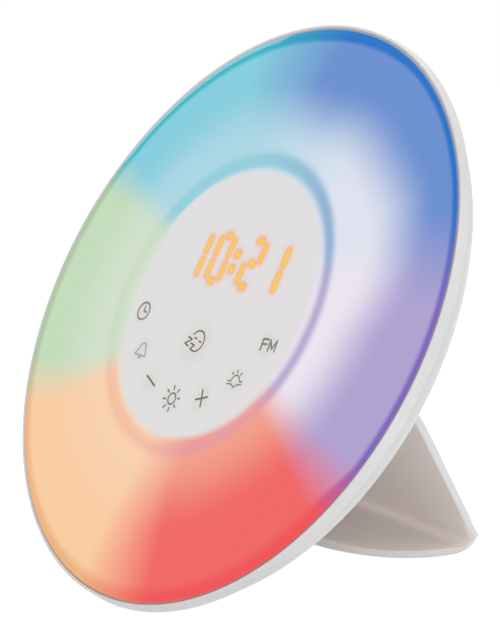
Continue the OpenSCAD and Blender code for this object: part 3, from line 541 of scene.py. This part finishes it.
LOOKS = {
    "front_diffuser": diffuser_material(),
    "rear_housing": plastic("housing_white", HOUSING_WHITE, 0.34),
    "stand": plastic("stand_white", STAND_PAINTED_LIGHT_WHITE, 0.36, 0.008, milky=0.3, side=STAND_CUT_WHITE),
    "battery_door": plastic("door_white", HOUSING_WHITE, 0.4),
    "stand_pads": rubber("pad_rubber", (0.4, 0.4, 0.41)),
    "inner_frame": plastic("frame_white", (0.95, 0.95, 0.93), 0.6),
    "led_board": circuit_board("led_mask", (0.93, 0.94, 0.93), (0.84, 0.86, 0.84)),
    "main_board": circuit_board("board_mask", (0.08, 0.36, 0.20), (0.16, 0.48, 0.26)),
    "jack_board": circuit_board("jack_mask", (0.08, 0.36, 0.20), (0.16, 0.48, 0.26)),
    "rgb_leds": glowing("led_colour", (0.98, 0.98, 0.94), 0.3),
    "white_leds": glowing("led_white", (1.0, 0.92, 0.6), 0.3),
    "reflector_film": plastic("film_white", (0.98, 0.98, 0.98), 0.5),
    "display_module": plastic("display_black", (0.12, 0.12, 0.13), 0.5),
    "display_shroud": plastic("shroud_white", (0.95, 0.95, 0.93), 0.6),
    "lit_segments": glowing("bars_lit", (1.0, 0.62, 0.14), 1.0),
    "unlit_segments": plastic("bars_dark", (0.74, 0.72, 0.69), 0.5),
    "display_pins": metal("pin_tin", (0.82, 0.82, 0.8)),
    "touch_springs": metal("spring_wire", (0.8, 0.77, 0.68)),
    "mcu_chip": plastic("chip_black", (0.09, 0.09, 0.1), 0.5),
    "amp_chip": plastic("amp_black", (0.09, 0.09, 0.1), 0.5),
    "fm_tuner": metal("tuner_can", (0.82, 0.82, 0.84), 0.28),
    "crystal": metal("crystal_can", (0.84, 0.84, 0.83), 0.25),
    "capacitors": plastic("capacitor_sleeve", (0.12, 0.16, 0.36), 0.35),
    "board_connectors": plastic("nylon", (0.93, 0.92, 0.86), 0.5),
    "speaker_gasket": rubber("gasket_foam", (0.17, 0.17, 0.17)),
    "grille_cloth": woven("cloth_dark", (0.22, 0.22, 0.23)),
    "speaker_frame": metal("basket_steel", (0.36, 0.37, 0.39), 0.45),
    "speaker_magnet": metal("magnet_steel", (0.34, 0.34, 0.35), 0.4),
    "speaker_surround": rubber("surround_rubber", (0.09, 0.09, 0.09)),
    "speaker_cone": woven("cone_pulp", (0.16, 0.16, 0.17)),
    "dc_jack": plastic("jack_black", (0.07, 0.07, 0.08), 0.45),
    "jack_pin": metal("jack_contact", (0.86, 0.84, 0.78), 0.22),
    "coin_cell": metal("cell_steel", (0.82, 0.83, 0.84), 0.24),
    "battery_contacts": metal("contact_brass", (0.84, 0.76, 0.52)),
    "led_ribbon": plastic("ribbon_white", (0.9, 0.9, 0.88), 0.5),
    "speaker_leads": plastic("wire_red", (0.74, 0.1, 0.09), 0.4),
    "jack_leads": plastic("wire_black", (0.09, 0.09, 0.09), 0.4),
    "battery_leads": plastic("wire_blue", (0.14, 0.2, 0.66), 0.4),
}
SCREW_STEEL = metal("screw_zinc", (0.76, 0.76, 0.79), 0.3)


def dress_nodes():
    """Gives each CAD node its look: the nodes without one of their own are screws."""
    for name, node in NODES.items():
        node.data.materials.clear()
        node.data.materials.append(LOOKS.get(name, SCREW_STEEL))


dress_nodes()


# ---- printed signs of the touch keys ----

# How far the ink stands out of the face and reaches into it, and the usual width of its lines
PRINT_LIFT = 0.035
PRINT_SINK = 0.03
LINE_W = 0.62
# The ink's share of light of its own, from the lit wall behind it, and a height above every face
INK_GLOW = 0.25
ABOVE_FACE = 20


def face_finder():
    """Function that gives the n of the diffuser's front at any x and t of the disc."""
    to_disc = DISC_FRAME.inverted()
    mesh = NODES["front_diffuser"].data
    points = [to_disc @ v.co for v in mesh.vertices]
    tree = BVHTree.FromPolygons(points, [tuple(p.vertices) for p in mesh.polygons])

    def height(x, t):
        hit = tree.ray_cast(Vector((x, t, ABOVE_FACE)), Vector((0, 0, -1)))[0]
        return hit.z if hit else FACE_N

    return height


face_height = face_finder()


def arc(x, t, radius, start, end, steps=28):
    """Points of a round arc from start to end, in degrees."""
    angles = [math.radians(start + (end - start) * i / steps) for i in range(steps + 1)]
    return [(x + radius * math.cos(a), t + radius * math.sin(a)) for a in angles]


def ray(angle, inner, outer):
    """Two ends of a line that points away from the middle."""
    a = math.radians(angle)
    return [(inner * math.cos(a), inner * math.sin(a)), (outer * math.cos(a), outer * math.sin(a))]


def divide(points, closed, pace=0.35):
    """The same path with a point at least every `pace` millimetres."""
    path = list(points) + ([points[0]] if closed else [])
    fine = []
    for (x0, t0), (x1, t1) in zip(path, path[1:]):
        count = max(1, math.ceil(math.hypot(x1 - x0, t1 - t0) / pace))
        fine += [(x0 + (x1 - x0) * i / count, t0 + (t1 - t0) * i / count) for i in range(count)]
    return fine if closed else fine + [path[-1]]


def ribbon(points, closed, width):
    """Left and right edge points of a line of ink along a path, with rounded free ends."""
    path = divide(points, closed)
    count = len(path)
    edges = []
    for i, (x, t) in enumerate(path):
        before = path[i - 1] if closed or i else path[0]
        after = path[(i + 1) % count] if closed or i < count - 1 else path[-1]
        heading = Vector((after[0] - before[0], after[1] - before[1])).normalized()
        side = Vector((-heading.y, heading.x)) * width / 2
        edges.append((Vector((x, t)), side, heading))
    rows = [(point + side, point - side) for point, side, _ in edges]
    if not closed:
        rows = end_cap(edges[0], -1, width)[::-1] + rows + end_cap(edges[-1], 1, width)
    return rows


def end_cap(edge, way, width, steps=4):
    """Edge points of the rounded end of a line of ink, from the line outwards."""
    point, side, heading = edge
    rows = []
    for i in range(1, steps + 1):
        # Not quite 90 degrees, so that the last two points stay apart
        a = math.radians(88 * i / steps)
        middle_point = point + heading * way * width / 2 * math.sin(a)
        rows.append((middle_point + side * math.cos(a), middle_point - side * math.cos(a)))
    return rows


def print_sign(name, place, turn, strokes, look, width=LINE_W):
    """One printed sign: thin raised ink that follows the dimple it lies in."""
    mesh = bmesh.new()
    cos_turn, sin_turn = math.cos(math.radians(turn)), math.sin(math.radians(turn))

    def vertex(point, low=False):
        x = place[0] + point.x * cos_turn - point.y * sin_turn
        t = place[1] + point.x * sin_turn + point.y * cos_turn
        n = face_height(x, t) + (-PRINT_SINK if low else PRINT_LIFT)
        return mesh.verts.new(DISC_FRAME @ Vector((x, t, n)))

    for points, closed in strokes:
        rows = [[vertex(left), vertex(right), vertex(right, low=True), vertex(left, low=True)]
                for left, right in ribbon(points, closed, width)]
        pairs = list(zip(rows, rows[1:])) + ([(rows[-1], rows[0])] if closed else [])
        for row, following in pairs:
            for k in range(4):
                mesh.faces.new((row[k], row[(k + 1) % 4], following[(k + 1) % 4], following[k]))
        if not closed:
            mesh.faces.new(rows[0][::-1])
            mesh.faces.new(rows[-1])
    bmesh.ops.recalc_face_normals(mesh, faces=mesh.faces)
    data = bpy.data.meshes.new(name)
    mesh.to_mesh(data)
    mesh.free()
    data.materials.append(look)
    sign = bpy.data.objects.new(name, data)
    bpy.context.scene.collection.objects.link(sign)
    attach(sign, "clock")


def ink(name, colour):
    """Screen-printed ink: slightly uneven cover."""
    shader = Shader(name, colour, 0.6)
    cover = shader.step(shader.noise(1.4, 3), 0.3, 0.7)
    shader.put("Base Color", shader.mix(cover, colour, shade(colour, 1.18)))
    shader.put("Emission Color", (*linear(colour), 1))
    shader.put("Emission Strength", INK_GLOW)
    return shader.material


def print_signs():
    """The seven signs of the small keys in turn, and the two parts of the snooze sign."""
    dark = ink("ink_dark", (0.36, 0.35, 0.34))
    grey = ink("ink_grey", (0.44, 0.43, 0.42))
    light = ink("ink_light", (0.60, 0.59, 0.58))
    print_sign("sign_clock", key_place(-3), 4, [
        (arc(-0.9, 0, 2.9, 0, 360)[:-1], True),
        ([(-0.9, 1.8), (-0.9, -0.1), (0.6, -0.25)], False),
    ], grey)
    print_sign("sign_bell", key_place(-2), 0, [
        ([(-3.0, -1.75), (-1.7, 0.4)] + arc(-0.05, 1.0, 1.35, 155, 25, 12)
         + [(1.7, 0.4), (3.0, -1.75)], True),
        (arc(0, -1.9, 0.75, 180, 360, 10), True),
        ([(-0.5, -2.25), (0.5, -2.25)], False),
    ], light)
    print_sign("sign_minus", key_place(-1), -21, [([(-3.1, 0), (3.1, 0)], False)], dark)
    rays = [(ray(45 * i, 2.9, 3.95), False) for i in range(8)]
    print_sign("sign_sun", key_place(0), 12, [(arc(0, 0, 1.75, 0, 360)[:-1], True)] + rays, grey)
    print_sign("sign_plus", key_place(1), 21, [
        ([(-2.55, 0.2), (2.55, 0.2)], False),
        ([(0, -2.35), (0, 2.75)], False),
    ], dark)
    print_sign("sign_dawn", key_place(2), 8, [
        ([(-3.15, -0.25), (-1.9, -0.25)] + arc(0, -0.25, 1.8, 150, 30, 16)
         + [(1.9, -0.25), (3.15, -0.25)], False),
        ([(-3.15, -1.15), (-1.4, -1.15), (0, -2.1), (1.4, -1.15), (3.15, -1.15)], False),
        ([(0, 2.3), (0, 3.0)], False),
        ([(-1.6, 1.75), (-2.1, 2.3)], False),
        ([(1.6, 1.75), (2.1, 2.3)], False),
    ], grey, 0.46)
    print_sign("sign_fm", (key_place(3)[0] - 0.2, key_place(3)[1] + 0.3), 5, [
        ([(-2.0, -1.7), (-2.0, 1.6), (0.3, 1.6)], False),
        ([(-2.0, 0.1), (0.0, 0.1)], False),
        ([(1.2, -1.7), (1.2, 1.6), (2.75, -1.2), (4.3, 1.6), (4.3, -1.7)], False),
    ], grey, 0.66)
    print_sign("sign_snooze", (0.3, -12.9), -12, [
        (arc(0.0, -0.1, 3.3, 160, -68, 40), False),
        ([(-1.9, 0.35), (-0.8, 0.35)], False),
        ([(0.9, 0.25), (1.9, 0.25)], False),
    ], dark, 0.55)
    print_sign("sign_sleep", (0, 0), 0, [
        ([(-4.5, -12.4), (-2.4, -12.9), (-5.1, -14.6), (-3.0, -15.2)], False),
        ([(-2.2, -14.1), (-0.1, -14.5), (-1.7, -15.8), (0.4, -16.3)], False),
    ], dark, 0.55)


print_signs()


# ---- floor, background and light ----

# Lengths here are in metres. FLOOR_LIFT is what the floor adds to its own light for the camera.
WORLD_LIGHT = 0.52
FLOOR_HALF = 4.0
FLOOR_GREY = 0.8
FLOOR_LIFT = 0.75
LIT_PLACE = Vector((0, 0, 0.08))
# Name, place, size and watts
LAMPS = [
    ("key", (0.9, -0.5, 1.3), 0.9, 4.5),
    ("front", (1.25, -0.8, 0.32), 0.9, 6),
    ("back", (-0.5, 0.8, 1.3), 0.6, 5),
]


def seen_directly(tree):
    """1 for rays of the camera, of reflection and of refraction, 0 for light on the object."""
    rays = add_node(tree, "LightPath").outputs
    seen = rays["Is Camera Ray"]
    for kind in ("Is Glossy Ray", "Is Transmission Ray"):
        seen = add_node(tree, "Math", seen, rays[kind], operation="MAXIMUM").outputs[0]
    return seen


def make_world(strength):
    """White surroundings that light the object at a lower strength."""
    world = bpy.data.worlds.new("studio")
    bpy.context.scene.world = world
    world.use_nodes = True
    tree = world.node_tree
    background = tree.nodes["Background"]
    background.inputs["Color"].default_value = (1, 1, 1, 1)
    level = add_node(tree, "MapRange", seen_directly(tree), 0.0, 1.0, strength, 1.0)
    feed(tree, background.inputs["Strength"], level.outputs[0])


def make_floor(half, lift):
    """Pale floor that keeps a faint shadow: camera rays see it raised to white."""
    data = bpy.data.meshes.new("floor")
    corners = [(-half, -half, 0), (half, -half, 0), (half, half, 0), (-half, half, 0)]
    data.from_pydata(corners, [], [(0, 1, 2, 3)])
    floor = bpy.data.objects.new("floor", data)
    bpy.context.scene.collection.objects.link(floor)
    material = bpy.data.materials.new("floor_white")
    material.use_nodes = True
    tree = material.node_tree
    tree.nodes.remove(tree.nodes["Principled BSDF"])
    diffuse = add_node(tree, "BsdfDiffuse", (FLOOR_GREY, FLOOR_GREY, FLOOR_GREY, 1))
    level = add_node(tree, "Math", seen_directly(tree), lift, operation="MULTIPLY")
    glow = add_node(tree, "Emission", None, level.outputs[0])
    both = add_node(tree, "AddShader", diffuse.outputs[0], glow.outputs[0])
    feed(tree, tree.nodes["Material Output"].inputs["Surface"], both.outputs[0])
    data.materials.append(material)


def area_light(name, place, size, watts):
    """Round soft lamp that points at the middle of the clock."""
    data = bpy.data.lights.new(name, "AREA")
    data.shape = "DISK"
    data.size = size
    data.energy = watts
    light = bpy.data.objects.new(name, data)
    light.location = place
    light.rotation_euler = (LIT_PLACE - Vector(place)).to_track_quat("-Z", "Y").to_euler()
    bpy.context.scene.collection.objects.link(light)


make_world(WORLD_LIGHT)
make_floor(FLOOR_HALF, FLOOR_LIFT)
for lamp in LAMPS:
    area_light(*lamp)

bpy.context.scene.view_settings.view_transform = "Standard"
